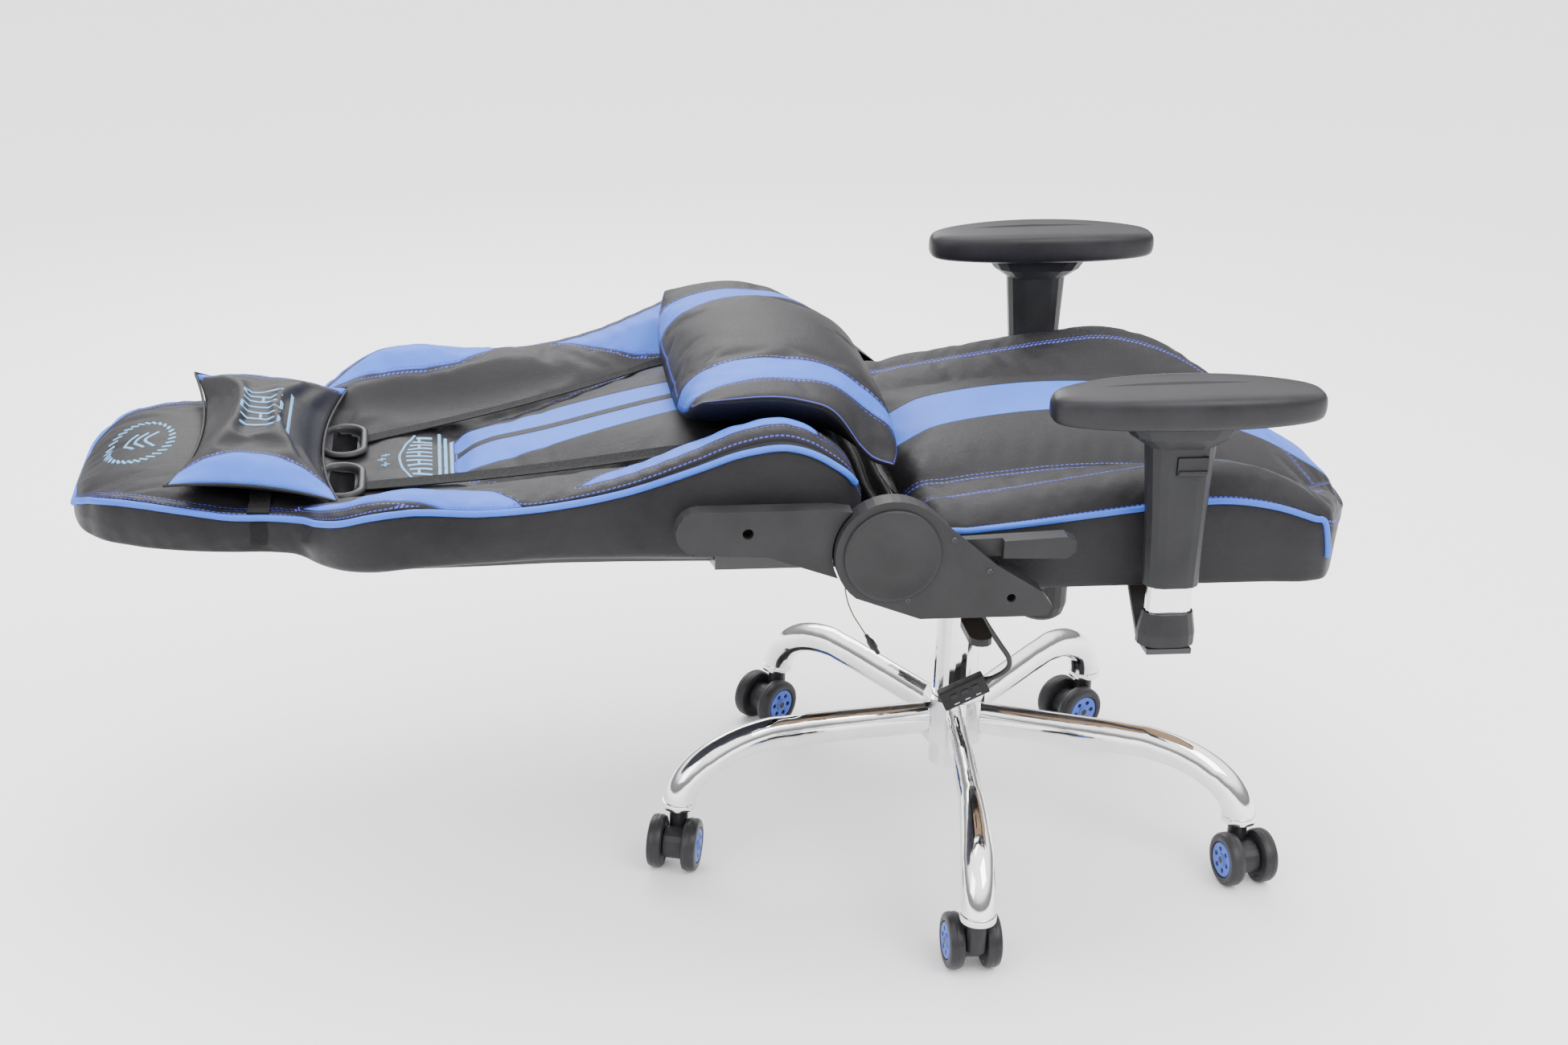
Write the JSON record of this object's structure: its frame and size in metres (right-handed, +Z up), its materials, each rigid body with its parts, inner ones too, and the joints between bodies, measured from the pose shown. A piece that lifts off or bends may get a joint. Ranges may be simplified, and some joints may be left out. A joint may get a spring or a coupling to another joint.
{
  "type": "gaming chair",
  "caption": "Reclining racing-style swivel chair on a five-star castor base, its back laid flat, with a head pillow, a lumbar pillow and height-adjustable arms.",
  "frame": {"origin": "on the floor, at the middle of the object's box in X and Y, the gas lift's axis 0.284 m towards -Y", "axes": "+Z up, the seat faces -Y and the sitter's left is +X"},
  "size_m": [0.6742, 1.356, 0.6296],
  "materials": {
    "chrome": "polished chrome plate",
    "steel": "plain steel",
    "black_steel": "black powder coat",
    "plywood": "plain plywood",
    "black_leather": "black imitation leather, fine grain",
    "cord_jacket": "black cord jacket",
    "black_rubber": "black castor tread",
    "black_plastic": "black moulded plastic",
    "blue_leather": "blue imitation leather, fine grain",
    "blue_plastic": "blue moulded plastic",
    "black_webbing": "black woven strap"
  },
  "bodies": {
    "base": {"base_hub": "chrome", "base_leg_1": "chrome", "base_leg_2": "chrome", "base_leg_3": "chrome", "base_leg_4": "chrome", "base_leg_5": "chrome", "gas_lift_tube": "chrome"},
    "castor_1": {"caster_fork_1": "black_plastic"},
    "wheel_right_1": {"caster_wheel_right_1": "black_rubber"},
    "wheel_left_1": {"caster_wheel_left_1": "black_rubber"},
    "castor_2": {"caster_fork_2": "black_plastic"},
    "wheel_right_2": {"caster_wheel_right_2": "black_rubber"},
    "wheel_left_2": {"caster_wheel_left_2": "black_rubber"},
    "castor_3": {"caster_fork_3": "black_plastic"},
    "wheel_right_3": {"caster_wheel_right_3": "black_rubber"},
    "wheel_left_3": {"caster_wheel_left_3": "black_rubber"},
    "castor_4": {"caster_fork_4": "black_plastic"},
    "wheel_right_4": {"caster_wheel_right_4": "black_rubber"},
    "wheel_left_4": {"caster_wheel_left_4": "black_rubber"},
    "castor_5": {"caster_fork_5": "black_plastic"},
    "wheel_right_5": {"caster_wheel_right_5": "black_rubber"},
    "wheel_left_5": {"caster_wheel_left_5": "black_rubber"},
    "lift": {"gas_lift_piston": "steel"},
    "mechanism": {"mechanism_housing": "black_steel", "tilt_pivot_pin": "steel", "wire": "cord_jacket", "wire_plug": "black_plastic", "cable": "cord_jacket", "control_box": "black_plastic"},
    "tension_knob": {"tension_knob": "black_plastic"},
    "lock_bolt": {"tilt_lock_bolt": "steel"},
    "height_lever": {"height_lever": "black_plastic"},
    "seat": {"seat_plate": "black_steel", "seat_pan": "plywood", "seat_cushion": "black_leather", "recliner_plate_right": "steel", "recliner_plate_left": "steel", "side_cover_right": "black_plastic", "side_cover_left": "black_plastic", "arm_bracket_right": "black_steel", "arm_bracket_left": "black_steel", "arm_boot_right": "black_plastic", "arm_boot_left": "black_plastic", "arm_tube_right": "chrome", "arm_tube_left": "chrome"},
    "backrest": {"backrest_frame": "black_steel", "backrest_cushion": "black_leather", "head_pillow": "black_leather", "lumbar_pillow": "black_leather", "back_plate_right": "steel", "back_plate_left": "steel", "back_cover_right": "black_plastic", "back_cover_left": "black_plastic"},
    "recline_lever": {"recline_lever": "black_plastic"},
    "arm_right": {"arm_sleeve_right": "black_plastic", "armrest_pad_right": "black_plastic"},
    "button_right": {"arm_button_right": "black_plastic"},
    "arm_left": {"arm_sleeve_left": "black_plastic", "armrest_pad_left": "black_plastic"},
    "button_left": {"arm_button_left": "black_plastic"}
  },
  "joints": [
    {"name": "castor_swivel_1", "type": "hinge", "parent": "base", "child": "castor_1", "pos_m": [-0.32278, -0.24608, 0.066], "axis": [0, 0, 1], "continuous": true},
    {"name": "wheel_roll_right_1", "type": "hinge", "parent": "castor_1", "child": "wheel_right_1", "pos_m": [-0.30245, -0.26508, 0.03], "axis": [-0.0175, 0.9998, 0], "continuous": true},
    {"name": "wheel_roll_left_1", "type": "hinge", "parent": "castor_1", "child": "wheel_left_1", "pos_m": [-0.30312, -0.22639, 0.03], "axis": [-0.0175, 0.9998, 0], "continuous": true},
    {"name": "castor_swivel_2", "type": "hinge", "parent": "base", "child": "castor_2", "pos_m": [-0.06368, 0.0347, 0.066], "axis": [0, 0, 1], "continuous": true},
    {"name": "wheel_roll_right_2", "type": "hinge", "parent": "castor_2", "child": "wheel_right_2", "pos_m": [-0.07672, 0.05928, 0.03], "axis": [-0.309, -0.9511, 0], "continuous": true},
    {"name": "wheel_roll_left_2", "type": "hinge", "parent": "castor_2", "child": "wheel_left_2", "pos_m": [-0.08868, 0.02248, 0.03], "axis": [-0.309, -0.9511, 0], "continuous": true},
    {"name": "castor_swivel_3", "type": "hinge", "parent": "base", "child": "castor_3", "pos_m": [-0.13581, -0.57927, 0.066], "axis": [0, 0, 1], "continuous": true},
    {"name": "wheel_roll_right_3", "type": "hinge", "parent": "castor_3", "child": "wheel_right_3", "pos_m": [-0.15886, -0.56368, 0.03], "axis": [0.1736, -0.9848, 0], "continuous": true},
    {"name": "wheel_roll_left_3", "type": "hinge", "parent": "castor_3", "child": "wheel_left_3", "pos_m": [-0.15214, -0.60179, 0.03], "axis": [0.1736, -0.9848, 0], "continuous": true},
    {"name": "castor_swivel_4", "type": "hinge", "parent": "base", "child": "castor_4", "pos_m": [0.28342, -0.12495, 0.066], "axis": [0, 0, 1], "continuous": true},
    {"name": "wheel_roll_right_4", "type": "hinge", "parent": "castor_4", "child": "wheel_right_4", "pos_m": [0.28587, -0.09723, 0.03], "axis": [-0.7771, -0.6293, 0], "continuous": true},
    {"name": "wheel_roll_left_4", "type": "hinge", "parent": "castor_4", "child": "wheel_left_4", "pos_m": [0.2558, -0.12159, 0.03], "axis": [-0.7771, -0.6293, 0], "continuous": true},
    {"name": "castor_swivel_5", "type": "hinge", "parent": "base", "child": "castor_5", "pos_m": [0.23885, -0.5044, 0.066], "axis": [0, 0, 1], "continuous": true},
    {"name": "wheel_roll_right_5", "type": "hinge", "parent": "castor_5", "child": "wheel_right_5", "pos_m": [0.24747, -0.47794, 0.03], "axis": [-0.8988, -0.4384, 0], "continuous": true},
    {"name": "wheel_roll_left_5", "type": "hinge", "parent": "castor_5", "child": "wheel_left_5", "pos_m": [0.21269, -0.49491, 0.03], "axis": [-0.8988, -0.4384, 0], "continuous": true},
    {"name": "lift_height", "type": "slide", "parent": "base", "child": "lift", "axis": [0, 0, 1], "range_m": [0, 0.085]},
    {"name": "seat_swivel", "type": "hinge", "parent": "lift", "child": "mechanism", "pos_m": [0, -0.284, 0.315], "axis": [0, 0, 1], "continuous": true},
    {"name": "tension_knob_turn", "type": "hinge", "parent": "mechanism", "child": "tension_knob", "pos_m": [0, -0.374, 0.375], "axis": [0, 0, 1], "continuous": true},
    {"name": "tilt_lock_slide", "type": "slide", "parent": "mechanism", "child": "lock_bolt", "axis": [-1, 0, 0], "range_m": [0, 0.012]},
    {"name": "height_lever_lift", "type": "hinge", "parent": "mechanism", "child": "height_lever", "pos_m": [-0.065, -0.254, 0.335], "axis": [0, 1, 0], "range_deg": [0, 8], "stiffness_Nm_per_rad": 1, "springref_deg": -5.73},
    {"name": "seat_tilt", "type": "hinge", "parent": "mechanism", "child": "seat", "pos_m": [0, -0.374, 0.375], "axis": [-1, 0, 0], "range_deg": [0, 12], "stiffness_Nm_per_rad": 400, "springref_deg": -17.19},
    {"name": "backrest_recline", "type": "hinge", "parent": "seat", "child": "backrest", "pos_m": [0, -0.142, 0.465], "axis": [1, 0, 0], "range_deg": [0, 85]},
    {"name": "recline_lever_lift", "type": "hinge", "parent": "seat", "child": "recline_lever", "pos_m": [-0.281, -0.209, 0.466], "axis": [-1, 0, 0], "range_deg": [0, 25], "stiffness_Nm_per_rad": 0.6, "springref_deg": -11.46},
    {"name": "arm_height_right", "type": "slide", "parent": "seat", "child": "arm_right", "axis": [0, 0, 1], "range_m": [-0.026, 0.04]},
    {"name": "arm_button_press_right", "type": "slide", "parent": "arm_right", "child": "button_right", "axis": [1, 0, 0], "range_m": [0, 0.003], "stiffness_N_per_m": 300},
    {"name": "arm_height_left", "type": "slide", "parent": "seat", "child": "arm_left", "axis": [0, 0, 1], "range_m": [-0.026, 0.04]},
    {"name": "arm_button_press_left", "type": "slide", "parent": "arm_left", "child": "button_left", "axis": [-1, 0, 0], "range_m": [0, 0.003], "stiffness_N_per_m": 300}
  ]
}
